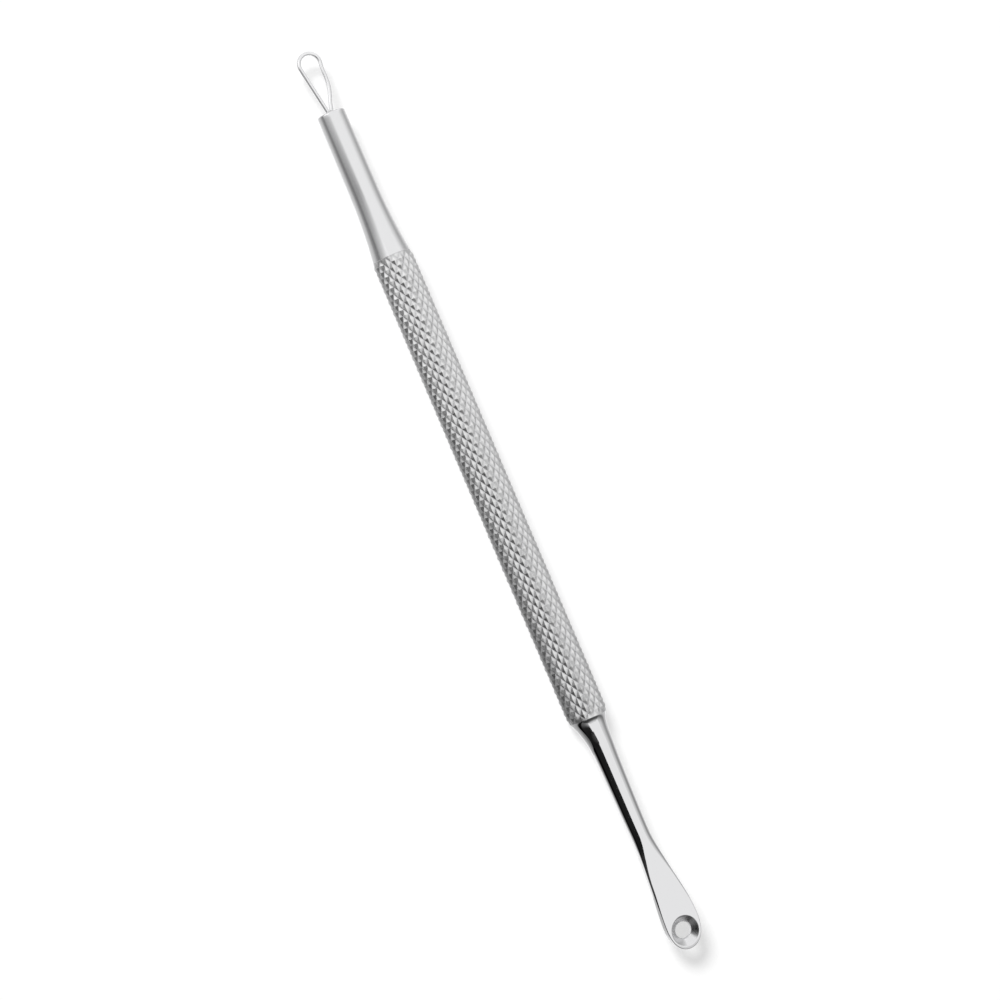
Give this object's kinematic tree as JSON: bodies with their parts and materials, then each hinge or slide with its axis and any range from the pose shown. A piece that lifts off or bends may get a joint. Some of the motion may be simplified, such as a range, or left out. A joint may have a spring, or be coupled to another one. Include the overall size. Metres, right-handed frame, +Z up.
{
  "type": "blackhead extractor",
  "caption": "Slim steel skin tool: a wire loop on a turned neck, a diamond-knurled grip, and a forged spoon pierced by a small dished hole.",
  "frame": {"origin": "middle of the tool's box on the surface that the knurled grip lies on", "axes": "+X along the tool from the wire loop to the spoon, +Z up and out of the spoon's dished face, +Y across the spoon"},
  "size_m": [0.1199, 0.0052, 0.0052],
  "materials": {
    "knurled_steel": "rolled diamond knurl, bright crests, unpolished grooves",
    "satin_steel": "turned and lightly polished, soft reflections drawn out along the neck",
    "spring_wire": "bright drawn wire",
    "solder": "dull silver solder, dressed smooth",
    "polished_steel": "forged, then mirror polished",
    "braze": "silver braze, inside the joint"
  },
  "bodies": {
    "root": {"knurled_grip": "knurled_steel", "loop_neck": "satin_steel", "wire_loop": "spring_wire", "loop_solder": "solder", "extractor_spoon": "polished_steel", "neck_braze_ring": "braze", "spoon_braze_ring": "braze"}
  },
  "joints": []
}
